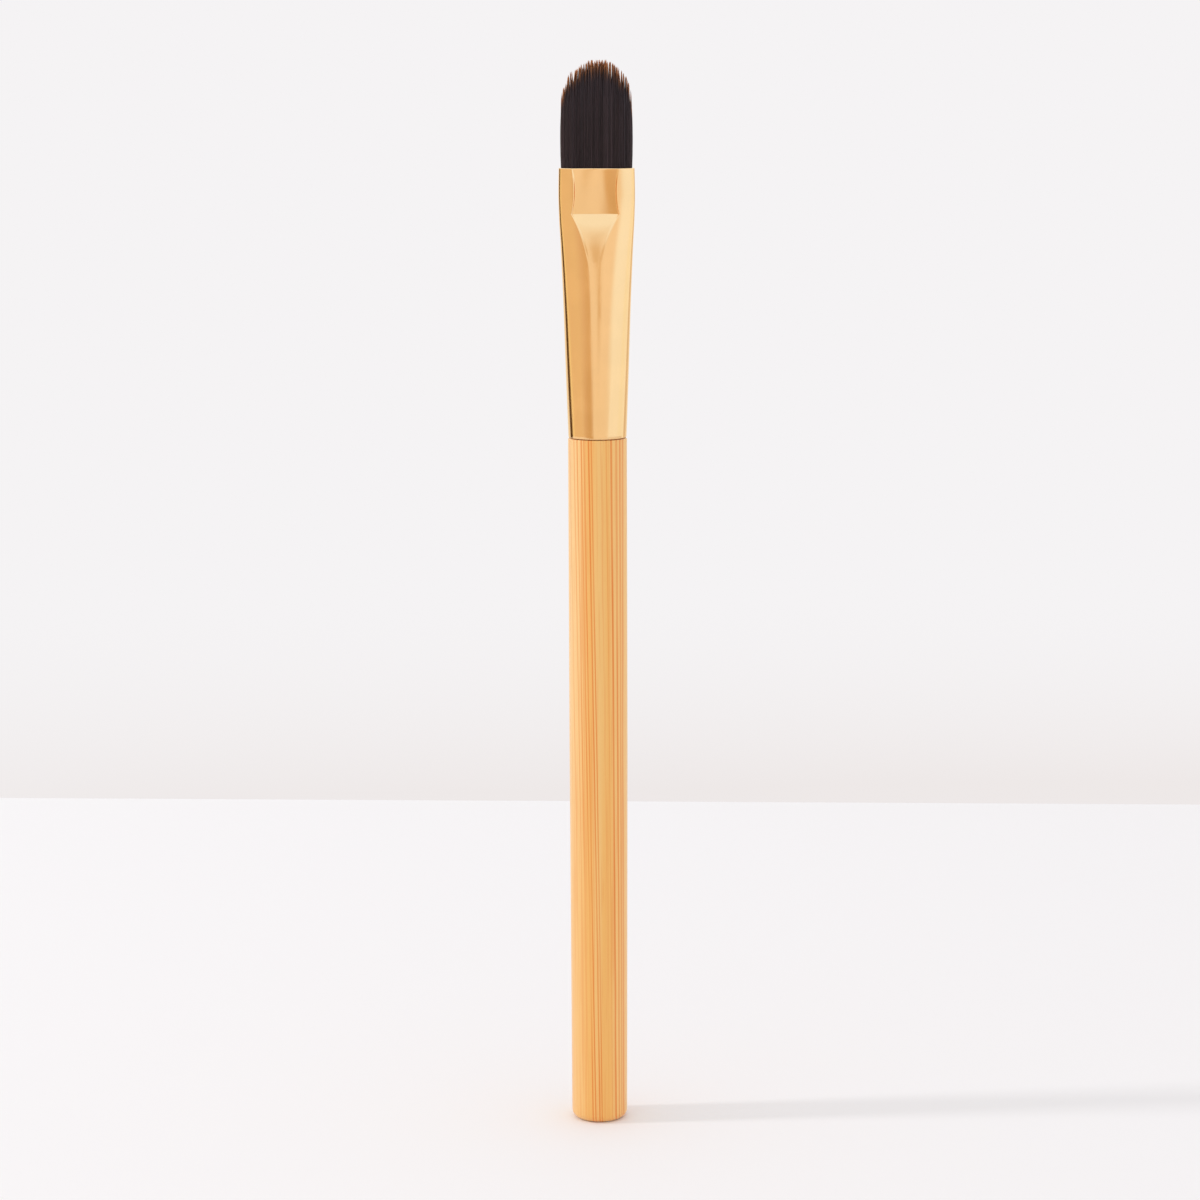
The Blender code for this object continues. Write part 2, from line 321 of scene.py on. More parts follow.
def length_property(name, description, default, largest=1):
    return FloatProperty(
        name=name, description=description, default=default, min=0, max=largest, unit="LENGTH", precision=5
    )


def angle_property(name, description, default):
    return FloatProperty(name=name, description=description, default=default, unit="ROTATION")


def number_property(name, description, default, largest=1):
    """A number without a unit, from zero up."""
    return FloatProperty(name=name, description=description, default=default, min=0, max=largest)


class HandleLook(bpy.types.PropertyGroup):
    neck_diameter: length_property("Neck diameter", "Width just below the ferrule", 0.0083)
    butt_diameter: length_property("Butt diameter", "Width at the end it stands on", 0.0080)
    taper_length: length_property("Taper length", "Height over which it narrows to the butt", 0.055)
    butt_edge: length_property("Butt edge", "Radius of the rounded edge of the butt", 0.0012)
    neck_edge: length_property("Neck edge", "Radius of the shoulder below the ferrule", 0.00025)
    tenon_diameter: length_property("Tenon diameter", "Width of the tenon at the shoulder", 0.00695)
    tenon_top: length_property("Tenon top", "Width of the tenon at its end", 0.0060)
    tenon_chamfer: length_property("Tenon chamfer", "Chamfer at the end of the tenon", 0.0005)
    bamboo: color_property("Bamboo", "Main colour of the bamboo", (0.91, 0.475, 0.125))
    pale: color_property("Pale bands", "Colour of the broad pale bands", (0.92, 0.545, 0.182))
    # inner is a painted sheen colour, for the key lamp's light on the left side of the stick
    inner: color_property("Inner side", "Colour of the side towards the hollow", (0.94, 0.590, 0.245))
    fibre: color_property("Fibres", "Colour of the fibres", (0.81, 0.245, 0.038))
    roughness: number_property("Roughness", "How dull the bamboo is", 0.42)
    fibre_lean: angle_property("Fibre lean", "Lean of the fibres", 0.0140)


class FerruleLook(bpy.types.PropertyGroup):
    wall: length_property("Wall", "Thickness of the metal", 0.0003)
    round_diameter: length_property("Round diameter", "Width of the round end", 0.00820)
    swell_width: length_property("Swell width", "Width at the widest place", 0.01073)
    swell_drop: length_property("Swell drop", "Widest place, below the mouth", 0.0037)
    mouth_width: length_property("Mouth width", "Width at the mouth", 0.01062)
    oval_thickness: length_property("Oval thickness", "Thickness at the mouth if unpressed", 0.0048)
    lip: length_property("Lip", "Radius of the rolled edges", 0.00011)
    panel_length: length_property("Panel length", "Height of the pressed panels", 0.0063)
    panel_width: length_property("Panel width", "Width of the panels at both ends", 0.0066)
    panel_waist: length_property("Panel waist", "Width of the panels at mid height", 0.00585)
    panel_thickness: length_property("Panel thickness", "Thickness over the panels", 0.0037)
    panel_step: length_property("Panel ramp", "Height of the ramp below a panel", 0.0067)
    panel_dish: length_property("Panel dish", "How far a panel sinks in at the mouth", 0.00046)
    panel_fall: length_property("Panel fall", "How far a panel falls back at its lower edge", 0.00008)
    tongue_length: length_property("Tongue length", "Length of the flat below a panel", 0.0140)
    tongue_end: length_property("Tongue end", "Width of that flat at its lower end", 0.0010)
    tongue_flat: number_property("Tongue flatness", "Share of the crown pressed out at a panel", 0.8)
    crease: length_property("Crease", "Half-width of the bend beside a panel", 0.00013)
    tongue_crease: length_property("Tongue crease", "Half-width of the bend beside the flat", 0.00032)
    gold: color_property("Gold", "Colour of the metal", (0.92, 0.585, 0.270))
    roughness: number_property("Roughness", "How dull the polish is", 0.13)


class TuftLook(bpy.types.PropertyGroup):
    filaments: IntProperty(
        name="Filaments", description="Number of filaments, about", default=2900, min=100, max=6000
    )
    thickness: length_property("Filament thickness", "Thickness of one filament", 0.000088)
    slice_drop: length_property("Slice drop", "Top of the resin, below the mouth", 0.0010)
    slice_thickness: length_property("Slice thickness", "Thickness of the slice of resin", 0.0020)
    dome_height: length_property("Dome height", "Height of the domed end", 0.0071)
    dome_shift: length_property("Dome shift", "How far the peak lies to the right", 0.00031)
    dome_depth: length_property("Dome depth", "How much lower the tips stand at the faces", 0.0003)
    ragged: length_property("Raggedness", "How uneven the tips are", 0.00030)
    locks: IntProperty(name="Locks", description="Number of locks", default=62, min=1, max=1000)
    lock_point: number_property("Lock point", "How pointed each lock is", 2.4, 5)
    clump: number_property("Clumping", "How far tips draw together into locks", 0.70)
    tip_length: length_property("Tip length", "Usual length of the brown tips", 0.0017)
    body_color: color_property("Filament", "Colour of the filaments", (0.036, 0.020, 0.022))
    tip_color: color_property("Tip", "Colour of the tips", (0.68, 0.215, 0.070))
    resin: color_property("Resin", "Colour of the resin", (0.30, 0.22, 0.11))
    glue: color_property("Glue", "Colour of the glue", (0.75, 0.70, 0.58))


class StageLook(bpy.types.PropertyGroup):
    camera_distance: length_property("Camera distance", "From the brush, on the level", 0.460, 10)
    camera_height: length_property("Camera height", "Above the table", 0.152, 10)
    camera_turn: angle_property("Camera turn", "Round the brush, from -Y towards +X", math.radians(6))
    camera_tilt: angle_property("Camera tilt", "Downwards", math.radians(9.36))
    camera_yaw: angle_property("Camera yaw", "Away from the brush's axis", -0.0006)
    camera_roll: angle_property("Camera roll", "About its own line of sight", math.radians(-0.19))
    lens: number_property("Lens", "Focal length in millimetres", 98.4, 500)
    table_back: length_property("Table back", "Back edge, behind the brush", 0.207, 10)
    table_skew: angle_property("Table skew", "Turn of the table under the brush", math.radians(3.7))
    table: color_property("Table", "Colour of the table", (0.915, 0.898, 0.908))
    wall_top: color_property("Wall", "Colour of the wall", (0.913, 0.896, 0.905))
    # The wall foot colour is painted shade, where the wall near the table gets less light
    wall_painted_shade: color_property("Wall foot", "Colour of the wall near the table", (0.855, 0.812, 0.804))
    fill: number_property("Fill", "Strength of the light all round", 0.905, 10)
    key: number_property("Key", "Power of the key lamp, in watts", 3.5, 100)


def smooth_curves(rows, places):
    """Values at places on smooth curves through rows of (place, value, value ...).

    Cubic Hermite pieces whose inner slopes are the harmonic mean of the slopes beside them, and zero at
    a peak, so that no curve overshoots its rows. Gives one array per value.
    """
    rows = np.array(rows, float)
    places = np.asarray(places, float)
    steps = np.diff(rows[:, 0])[:, None]
    slopes = np.diff(rows[:, 1:], axis=0) / steps
    product = slopes[:-1] * slopes[1:]
    total = slopes[:-1] + slopes[1:]
    inner = np.where(product > 0, 2 * product / np.where(product > 0, total, 1), 0)
    tangents = np.vstack([slopes[:1], inner, slopes[-1:]])
    i = np.clip(np.searchsorted(rows[:, 0], places) - 1, 0, len(steps) - 1)
    t = ((places - rows[i, 0]) / steps[i, 0])[..., None]
    values = (
        (2 * t**3 - 3 * t**2 + 1) * rows[i, 1:]
        + (t**3 - 2 * t**2 + t) * steps[i] * tangents[i]
        + (3 * t**2 - 2 * t**3) * rows[i + 1, 1:]
        + (t**3 - t**2) * steps[i] * tangents[i + 1]
    )
    return tuple(np.moveaxis(values, -1, 0))


def smoothstep(low, high, value):
    t = np.clip((value - low) / (high - low), 0, 1)
    return t * t * (3 - 2 * t)


def scaled(color, factor):
    """A colour times a factor, each channel up to one."""
    return tuple(min(factor * channel, 1) for channel in color)


def grid_faces(rows, columns, wrap_rows=False):
    """Quads of a grid of rows by columns that closes round its columns, and round its rows if asked."""
    index = np.arange(rows * columns).reshape(rows, columns)
    if wrap_rows:
        index = np.vstack([index, index[:1]])
    here = index[:-1]
    below = index[1:]
    quads = np.stack([here, below, np.roll(below, -1, 1), np.roll(here, -1, 1)], -1)
    return quads.reshape(-1, 4)


def pole_faces(ring, pole, flip=False):
    """Triangles from a ring of vertices to one pole vertex."""
    order = [ring, np.roll(ring, -1), np.full(len(ring), pole)]
    if flip:
        order = [order[1], order[0], order[2]]
    return np.stack(order, -1)


def new_piece(name, points, *face_sets):
    """A smooth-shaded mesh object from an array of points and arrays of faces with equal corners."""
    mesh = bpy.data.meshes.new(name)
    corners = np.concatenate([faces.ravel() for faces in face_sets])
    counts = np.concatenate([np.full(len(faces), faces.shape[1]) for faces in face_sets])
    starts = np.concatenate([[0], np.cumsum(counts)[:-1]])
    mesh.vertices.add(len(points))
    mesh.vertices.foreach_set("co", np.asarray(points, np.float32).ravel())
    mesh.loops.add(len(corners))
    mesh.loops.foreach_set("vertex_index", corners.astype(np.int32))
    mesh.polygons.add(len(counts))
    mesh.polygons.foreach_set("loop_start", starts.astype(np.int32))
    mesh.update(calc_edges=True)
    if mesh.validate():
        raise ValueError(f"{name}: the mesh had faults")
    mesh.shade_smooth()
    piece = bpy.data.objects.new(name, mesh)
    bpy.context.scene.collection.objects.link(piece)
    return piece


def capped_piece(name, rings):
    """A closed piece from rings of points, with a fan of triangles over the first ring and the last."""
    rows, columns = rings.shape[:2]
    count = rows * columns
    poles = [[0, 0, rings[0, 0, 2]], [0, 0, rings[-1, 0, 2]]]
    ring = np.arange(columns)
    return new_piece(
        name,
        np.vstack([rings.reshape(-1, 3), poles]),
        grid_faces(rows, columns),
        pole_faces(ring, count),
        pole_faces(count - columns + ring, count + 1, flip=True),
    )


def point_values(piece, name, values):
    """Stores one number for each vertex under a name that the materials read."""
    attribute = piece.data.attributes.new(name, "FLOAT", "POINT")
    attribute.data.foreach_set("value", np.asarray(values, np.float32).ravel())


def dress(piece, finish, slot, *nodes):
    """Gives a piece its material, and makes it ride on the brush in place of CAD nodes."""
    piece.data.materials.append(finish)
    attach(piece, "root")
    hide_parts(*nodes)


# Materials

class Nodes:
    """A node tree under construction. Its methods add nodes and give their output sockets."""

    def __init__(self, tree):
        self.tree = tree

    def join(self, value, target):
        """Joins an output to an input, or sets the input to a number, a vector or a colour."""
        if isinstance(value, bpy.types.NodeSocket):
            self.tree.links.new(value, target)
        elif target.type == "RGBA":
            target.default_value = (*value, 1)
        else:
            target.default_value = value

    def add(self, kind, inputs, **settings):
        """Adds a node and sets or joins its inputs, given by name or number. Gives all its outputs."""
        node = self.tree.nodes.new(kind)
        for name, value in settings.items():
            setattr(node, name, value)
        for name, value in inputs.items():
            self.join(value, node.inputs[name])
        return node.outputs

    def place(self, scale=(1, 1, 1), turn=(0, 0, 0), shift=(0, 0, 0)):
        """Object coordinates, scaled, turned and moved in that order."""
        source = self.add("ShaderNodeTexCoord", {})["Object"]
        inputs = {"Vector": source, "Location": shift, "Rotation": turn, "Scale": scale}
        return self.add("ShaderNodeMapping", inputs)["Vector"]

    def noise(self, vector, scale, detail, roughness=0.5):
        inputs = {"Vector": vector, "Scale": scale, "Detail": detail, "Roughness": roughness}
        return self.add("ShaderNodeTexNoise", inputs)["Fac"]

    def streaks(self, scale, stretch, detail, turn=(0, 0, 0), shift=(0, 0, 0), roughness=0.5):
        """Solid noise drawn out along Z: that direction has only a share of the scale."""
        return self.noise(self.place((1, 1, stretch), turn, shift), scale, detail, roughness)

    def attribute(self, name):
        return self.add("ShaderNodeAttribute", {}, attribute_name=name)["Fac"]

    def split(self, vector):
        """The X, Y and Z of a vector."""
        return tuple(self.add("ShaderNodeSeparateXYZ", {0: vector}))

    def math(self, operation, *values):
        return self.add("ShaderNodeMath", dict(enumerate(values)), operation=operation)[0]

    def times(self, first, second):
        return self.math("MULTIPLY", first, second)

    def larger(self, first, second):
        return self.math("MAXIMUM", first, second)

    def apart(self, first, second):
        """How far two values are from each other."""
        return self.math("ABSOLUTE", self.math("SUBTRACT", first, second))

    def spread(self, value, low, high, to_low=0.0, to_high=1.0, smooth=True):
        """Maps a value from one range to another, held at both ends."""
        inputs = {"Value": value, "From Min": low, "From Max": high, "To Min": to_low, "To Max": to_high}
        curve = "SMOOTHSTEP" if smooth else "LINEAR"
        return self.add("ShaderNodeMapRange", inputs, interpolation_type=curve, clamp=True)["Result"]

    def mix(self, share, first, second):
        """Mixes two colours, each a triple or an output."""
        inputs = {0: share, 6: first, 7: second}
        return self.add("ShaderNodeMix", inputs, data_type="RGBA", clamp_result=False)[2]

    def ramp(self, value, rows):
        """A colour for each value, straight between rows of (value, colour) and held at both ends."""
        low, high = rows[0][0], rows[-1][0]
        node = self.tree.nodes.new("ShaderNodeValToRGB")
        stops = node.color_ramp.elements
        while len(stops) < len(rows):
            stops.new(0.5)
        for stop, (place, _) in zip(stops, rows):
            stop.position = (place - low) / (high - low)
        for stop, (_, color) in zip(stops, rows):
            stop.color = (*color, 1)
        self.join(self.spread(value, low, high, smooth=False), node.inputs["Fac"])
        return node.outputs["Color"]

    def bump(self, height, distance, strength):
        """Normals of a surface raised by height times distance."""
        inputs = {"Height": height, "Distance": distance, "Strength": strength}
        return self.add("ShaderNodeBump", inputs)["Normal"]

    def background(self, color, strength=1.0):
        return self.add("ShaderNodeBackground", {"Color": color, "Strength": strength})[0]

    def choose(self, share, first, second):
        """The second shader where the share is one, the first where it is zero."""
        return self.add("ShaderNodeMixShader", {0: share, 1: first, 2: second})[0]


class Finish(Nodes):
    """The nodes of a new material on the Principled shader."""

    def __init__(self, name):
        self.material = bpy.data.materials.new(name)
        self.material.use_nodes = True
        super().__init__(self.material.node_tree)
        self.shader = self.tree.nodes["Principled BSDF"]

    def set(self, socket, value):
        """Sets an input of the shader, or joins an output to it."""
        self.join(value, self.shader.inputs[socket])


def strong_fibres(finish, look, x, z):
    """How much of a strong fibre there is at a place. Each is a stripe in the width that leans like the
    other fibres, less so on the right, and comes and goes along the stick. The left ones fade towards the
    butt."""
    lean = (0, look.fibre_lean, 0)
    wander = finish.noise(finish.place((0, 1, 0.05), lean, (0, 0.003, 0.5)), scale=900, detail=1.0)
    slope = finish.math("MULTIPLY_ADD", finish.larger(x, 0), -STRONG_FIBRE_FAN, math.tan(look.fibre_lean))
    leaned = finish.math("MULTIPLY_ADD", finish.math("SUBTRACT", z, STRONG_FIBRE_HEIGHT), slope, x)
    across = finish.math("MULTIPLY_ADD", wander, STRONG_FIBRE_WANDER, leaned)
    strong = None
    for place, half, strength in STRONG_FIBRES:
        gap = finish.apart(across, place + STRONG_FIBRE_WANDER / 2)
        stripe = finish.spread(gap, 0.4 * half, 1.25 * half, strength, 0)
        strong = stripe if strong is None else finish.larger(strong, stripe)
    along = finish.streaks(scale=1100, stretch=0.03, detail=1.0, shift=(0.004, 0.009, 0))
    strong = finish.times(strong, finish.spread(along, 0.30, 0.62, 0.65, 1.0))
    kept = finish.larger(finish.spread(z, *FADE_UP, 0.3, 1), finish.spread(x, *FADE_ACROSS))
    return finish.times(strong, kept)


def bamboo_finish(look):
    """Satin bamboo: fine fibres along the stick over pale bands, and strong fibres at named places.
    A painted sheen, for the key lamp's light on the left, makes the left side paler, and more so higher
    up.

    Every noise is a solid one that is stretched along the fibres, so that it runs on over the rounded
    butt.
    """
    finish = Finish("bamboo_satin")
    lean = (0, look.fibre_lean, 0)
    broad = finish.streaks(scale=420, stretch=0.012, detail=2.0, turn=lean)
    medium = finish.streaks(scale=3200, stretch=0.006, detail=1.0, turn=lean, shift=(0.013, 0.004, 0.2))
    fine = finish.streaks(
        scale=6500, stretch=0.010, detail=2.0, turn=lean, shift=(0.031, 0.017, 0.1), roughness=0.6
    )
    lines = finish.times(finish.spread(medium, 0.60, 0.67), 0.34)
    grain = finish.times(finish.spread(fine, 0.54, 0.70), 0.30)
    x, _, z = finish.split(finish.place())
    # Painted sheen: paler on the left and higher up, for the key lamp's light
    inner = finish.times(finish.spread(x, *PAINTED_SHEEN_ACROSS, 1, 0), finish.spread(z, *PAINTED_SHEEN_UP, 0.4, 1))
    color = finish.mix(finish.spread(broad, 0.38, 0.64), look.bamboo, look.pale)
    color = finish.mix(inner, color, look.inner)
    marks = finish.larger(finish.larger(lines, grain), strong_fibres(finish, look, x, z))
    finish.set("Base Color", finish.mix(marks, color, look.fibre))
    finish.set("Roughness", finish.spread(fine, 0.3, 0.7, look.roughness - 0.06, look.roughness + 0.08))
    finish.set("Specular IOR Level", 0.4)
    finish.set("Sheen Weight", 0.24)
    finish.set("Sheen Roughness", 0.45)
    finish.set("Normal", finish.bump(fine, distance=0.00004, strength=0.35))
    return finish.material


def gold_finish(look):
    """Polished gold: a little uneven in its polish, with faint drawing lines along the tube."""
    finish = Finish("polished_gold_metal")
    polish = finish.noise(finish.place(), scale=260, detail=3.0)
    lines = finish.streaks(scale=9000, stretch=0.02, detail=1.5, shift=(0.01, 0.02, 0))
    shade = scaled(look.gold, 0.965)
    finish.set("Base Color", finish.mix(finish.spread(polish, 0.35, 0.65), shade, look.gold))
    finish.set("Metallic", 1.0)
    dull = finish.spread(polish, 0.3, 0.7, look.roughness - 0.02, look.roughness + 0.03)
    finish.set("Roughness", finish.math("ADD", dull, finish.spread(lines, 0.4, 0.8, 0.0, 0.04)))
    finish.set("Coat Weight", 0.25)
    finish.set("Coat Roughness", 0.06)
    finish.set("Normal", finish.bump(lines, distance=0.000004, strength=0.3))
    return finish.material


def filament_finish(look):
    """Dark satin filaments, each of its own tone, that turn brown over the last stretch to the tip. The
    paler a filament is, the longer its brown stretch."""
    finish = Finish("filament_two_tone")
    tone = finish.attribute("tone")
    tip = finish.attribute("from_tip")
    patches = finish.streaks(scale=7500, stretch=0.06, detail=1.0)
    shade = finish.math("MULTIPLY_ADD", finish.math("SUBTRACT", patches, 0.5), 1.1, tone)
    body = finish.mix(shade, scaled(look.body_color, 0.56), scaled(look.body_color, 1.5))
    tips = finish.mix(tone, scaled(look.tip_color, 0.7), scaled(look.tip_color, 1.8))
    reach = finish.spread(tone, 0, 1, 0.3 * look.tip_length, 1.9 * look.tip_length, smooth=False)
    near = finish.larger(finish.math("SUBTRACT", 1, finish.math("DIVIDE", tip, reach)), 0)
    finish.set("Base Color", finish.mix(finish.math("POWER", near, 1.8), body, tips))
    finish.set("Roughness", finish.spread(tone, 0, 1, 0.34, 0.46))
    finish.set("Specular IOR Level", 0.42)
    return finish.material


def resin_finish(name, color):
    """Cured resin or glue: cloudy, with tiny bubbles in its surface."""
    finish = Finish(name)
    cloud = finish.noise(finish.place(), scale=700, detail=3.0)
    bubbles = finish.noise(finish.place(shift=(0.02, 0, 0)), scale=6000, detail=1.0)
    finish.set("Base Color", finish.mix(finish.spread(cloud, 0.35, 0.65), scaled(color, 0.7), color))
    finish.set("Roughness", finish.spread(bubbles, 0.3, 0.7, 0.18, 0.36))
    finish.set("Normal", finish.bump(bubbles, distance=0.00002, strength=0.4))
    return finish.material


def table_finish(look):
    """Smooth pale laminate with a barely uneven tone."""
    finish = Finish("pale_table")
    tone = finish.noise(finish.place(), scale=9, detail=2.0)
    finish.set("Base Color", finish.mix(tone, scaled(look.table, 0.992), look.table))
    finish.set("Roughness", 0.75)
    finish.set("Specular IOR Level", 0.15)
    return finish.material


# Handle

def handle_profile(look):
    """Radii and heights of the turned stick from the tenon's end down to the middle of the butt."""
    neck = look.neck_diameter / 2
    butt = look.butt_diameter / 2
    shoulder = NECK_HEIGHT - SHOULDER_GAP
    quarter = np.linspace(0, math.pi / 2, EDGE_POINTS)
    tenon_height = np.linspace(TENON_HEIGHT - look.tenon_chamfer, shoulder, TENON_POINTS)
    tenon = np.linspace(look.tenon_top / 2, look.tenon_diameter / 2, TENON_POINTS)
    shank_height = np.linspace(shoulder - look.neck_edge, look.taper_length, SHANK_POINTS)[1:-1]
    taper_height = np.linspace(look.taper_length, BUTT_HEIGHT + look.butt_edge, TAPER_POINTS)
    down = (look.taper_length - taper_height) / (look.taper_length - look.butt_edge)
    face = np.linspace(butt - look.butt_edge, 0, FACE_POINTS)[1:-1]
    radii = [
        [look.tenon_top / 2 - look.tenon_chamfer],
        tenon,
        neck - look.neck_edge * (1 - np.sin(quarter)),
        np.full(len(shank_height), neck),
        neck + (butt - neck) * down,
        (butt - look.butt_edge * (1 - np.cos(quarter)))[1:],
        face,
    ]
    heights = [
        [TENON_HEIGHT],
        tenon_height,
        shoulder - look.neck_edge * (1 - np.cos(quarter)),
        shank_height,
        taper_height,
        (BUTT_HEIGHT + look.butt_edge * (1 - np.sin(quarter)))[1:],
        np.full(len(face), BUTT_HEIGHT),
    ]
    return np.concatenate(radii), np.concatenate(heights)


def make_handle(look):
    """The profile turned about the brush's axis, closed at both ends by a fan of triangles."""
    radius, height = handle_profile(look)
    angle = np.linspace(0, 2 * math.pi, TURNED_COLUMNS, endpoint=False)
    x = radius[:, None] * np.cos(angle)
    y = radius[:, None] * np.sin(angle)
    z = np.repeat(height[:, None], TURNED_COLUMNS, 1)
    return capped_piece("bamboo_handle", np.stack([x, y, z], -1))


# Ferrule

def tube_outline(look, drops):
    """Half-width and half-depth of the unpressed oval at drops below the mouth."""
    length = MOUTH_HEIGHT - NECK_HEIGHT
    rows = [(0, look.mouth_width / 2, look.oval_thickness / 2)]
    for down, width, depth in TUBE_TAPER:
        rows.append(
            (
                look.swell_drop + (length - look.swell_drop) * down,
                (look.round_diameter + (look.swell_width - look.round_diameter) * width) / 2,
                (look.oval_thickness + (look.round_diameter - look.oval_thickness) * depth) / 2,
            )
        )
    return smooth_curves(rows, drops)


def facet_edge(look, drops):
    """Half-width of the panel, drawn in at mid height by a parabola, or of the tongue below it, which
    narrows by the cube of what is left of its length."""
    middle = 1 - (2 * drops / look.panel_length - 1) ** 2
    panel = look.panel_width + (look.panel_waist - look.panel_width) * middle
    along = np.clip((drops - look.panel_length) / look.tongue_length, 0, 1)
    tongue = look.tongue_end + (look.panel_width - look.tongue_end) * (1 - along) ** 3
    return np.where(drops < look.panel_length, panel, tongue) / 2


def panel_depth(look, drops, x):
    """Half the thickness over the panels: it sinks in as a parabola across, less so further down, and
    falls back as a parabola towards its lower edge."""
    down = np.clip(drops / look.panel_length, 0, 1)
    edge = look.panel_width / 2
    dish = look.panel_dish * (1 - DISH_LOSS * down) * np.clip(1 - (x / edge) ** 2, 0, 1)
    return look.panel_thickness / 2 - look.panel_fall * down**2 - dish


def ferrule_quarter(look, drops, insets):
    """A quarter of the outline at each drop, from the narrow side to the middle of the flat face.

    The tube is an oval. Inside the facet's edge it is pressed: to the panel, then over the ramp to a
    tongue that keeps a share of the crown, more of it further down. They meet the oval over rounded
    creases.
    """
    width, depth = (values[:, None] for values in tube_outline(look, drops))
    width = width - insets[:, None]
    depth = depth - insets[:, None]
    drop = drops[:, None]
    edge = facet_edge(look, drops)[:, None]
    along = np.clip((drop - look.panel_length) / look.tongue_length, 0, 1)
    crease = look.crease + (look.tongue_crease - look.crease) * np.sqrt(along)

    def tube_depth(x):
        return depth * np.sqrt(1 - (x / width) ** 2)

    start = np.arccos((edge + crease) / width)
    turn = start * np.linspace(0, 1, SIDE_COLUMNS) ** SIDE_POWER
    side_x = width * np.cos(turn)
    side_y = depth * np.sin(turn)

    corner_x = edge + crease * np.linspace(1, -1, CREASE_COLUMNS)[1:-1]
    middle_x = (edge - crease) * np.linspace(1, 0, MIDDLE_COLUMNS)
    x = np.concatenate([corner_x, middle_x], 1)
    panel = panel_depth(look, drop, x) - insets[:, None]
    ramp = np.clip((drops - look.panel_length) / look.panel_step, 0, 1)
    risen = smooth_curves(RAMP_RISE, ramp)[0][:, None]
    crown = (1 - look.tongue_flat * (1 - along)) * (tube_depth(x) - tube_depth(edge))
    pressed = panel + (tube_depth(edge) + crown - panel) * risen
    share = smoothstep(-crease, crease, edge - x)
    y = tube_depth(x) + (pressed - tube_depth(x)) * share
    return np.concatenate([side_x, x], 1), np.concatenate([side_y, y], 1)


def ferrule_rows(look):
    """Drops and insets round the wall: down the outside, round the lower lip, up the inside, round the
    upper lip."""
    length = MOUTH_HEIGHT - NECK_HEIGHT
    lip = look.lip
    panel = look.panel_length
    tongue = panel + look.tongue_length
    outside = np.concatenate(
        [
            np.linspace(lip, panel - ABOVE_RAMP, PANEL_ROWS),
            panel + look.panel_step * np.linspace(0, 1, RAMP_ROWS) ** RAMP_POWER,
            np.linspace(panel + look.panel_step + BELOW_RAMP, tongue, TONGUE_ROWS),
            np.linspace(tongue, length - lip, TUBE_ROWS)[1:],
        ]
    )
    inside = np.linspace(length - lip, lip, INSIDE_ROWS)
    quarter = np.linspace(0, math.pi / 2, LIP_ROWS)[1:]
    inset = lip * (1 - np.cos(quarter))
    onward = lip * np.sin(quarter)
    lower = length - lip + np.concatenate([onward, onward[::-1][1:]])
    upper = lip - np.concatenate([onward, onward[::-1][1:]])
    drops = [outside, lower, inside, upper]
    insets = [
        np.zeros(len(outside)), inset, look.wall - inset[::-1][1:], np.full(len(inside), look.wall),
        look.wall - inset, inset[::-1][1:],
    ]
    return np.concatenate(drops), np.concatenate(insets)


def ferrule_rings(look, drops, insets):
    """Points of whole rings at drops below the mouth: each quarter outline, mirrored twice."""
    x, y = ferrule_quarter(look, drops, insets)
    ring_x = np.concatenate([x, -x[:, -2::-1], -x[:, 1:], x[:, -2:0:-1]], 1)
    ring_y = np.concatenate([y, y[:, -2::-1], -y[:, 1:], -y[:, -2:0:-1]], 1)
    ring_z = np.repeat((MOUTH_HEIGHT - drops)[:, None], ring_x.shape[1], 1)
    return np.stack([ring_x, ring_y, ring_z], -1)


def make_ferrule(look):
    """The rings round the wall's outside, inside and lips, joined into one closed skin."""
    rings = ferrule_rings(look, *ferrule_rows(look))
    faces = grid_faces(*rings.shape[:2], wrap_rows=True)
    return new_piece("gold_ferrule", rings.reshape(-1, 3), faces)


# Tuft

def bundle_places(look, ferrule):
    """Roots of the filaments in the ferrule's mouth: a lattice of equal triangles, a little disturbed.

    A place is kept where it lies inside the outline that the wall would leave at the top of the resin if
    the panels were flat. The third array is the share of its depth that the dish of the panels leaves.
    """
    inset = ferrule.wall + FILAMENT_GAP
    drop = np.array([look.slice_drop])
    width, depth = (float(values[0]) - inset for values in tube_outline(ferrule, drop))
    edge = float(facet_edge(ferrule, drop)[0])
    flat = ferrule.panel_thickness / 2 - inset
    row_share = math.sin(math.pi / 3)
    pitch = math.sqrt(BUNDLE_AREA * width * flat / look.filaments / row_share)
    rows = int(depth / pitch) + 2
    columns = int(width / pitch) + 2
    column, row = np.meshgrid(np.arange(-columns, columns + 1), np.arange(-rows, rows + 1))
    random = np.random.default_rng(11)
    x = ((column + 0.5 * (row % 2)) * pitch).ravel()
    x = x + random.uniform(-ROOT_SCATTER, ROOT_SCATTER, len(x)) * pitch
    y = (row * pitch * row_share).ravel()
    y = y + random.uniform(-ROOT_SCATTER, ROOT_SCATTER, len(y)) * pitch
    oval = depth * np.sqrt(np.clip(1 - (x / width) ** 2, 0, 1))
    limit = np.where(np.abs(x) < edge, flat, oval)
    kept = (np.abs(x) < width) & (np.abs(y) < limit)
    x, y, limit = x[kept], y[kept], limit[kept]
    dished = np.minimum(limit, panel_depth(ferrule, look.slice_drop, x) - inset)
    return x, y, np.where(np.abs(x) < edge, dished / limit, 1)


def choose_locks(look, x, y, random):
    """The lock of each filament, the nearest of a set of places scattered evenly across the width. Gives
    its number, its distance, and the way there in x and in y."""
    locks = look.locks
    lock_x = np.abs(x).max() * (2 * (np.arange(locks) + random.uniform(0, 1, locks)) / locks - 1)
    lock_y = random.uniform(-1, 1, locks) * np.abs(y).max()
    apart = (x[:, None] - lock_x) ** 2 + LOCK_DEPTH * (y[:, None] - lock_y) ** 2
    lock = np.argmin(apart, 1)
    return lock, np.sqrt(apart[np.arange(len(x)), lock]), lock_x[lock] - x, lock_y[lock] - y


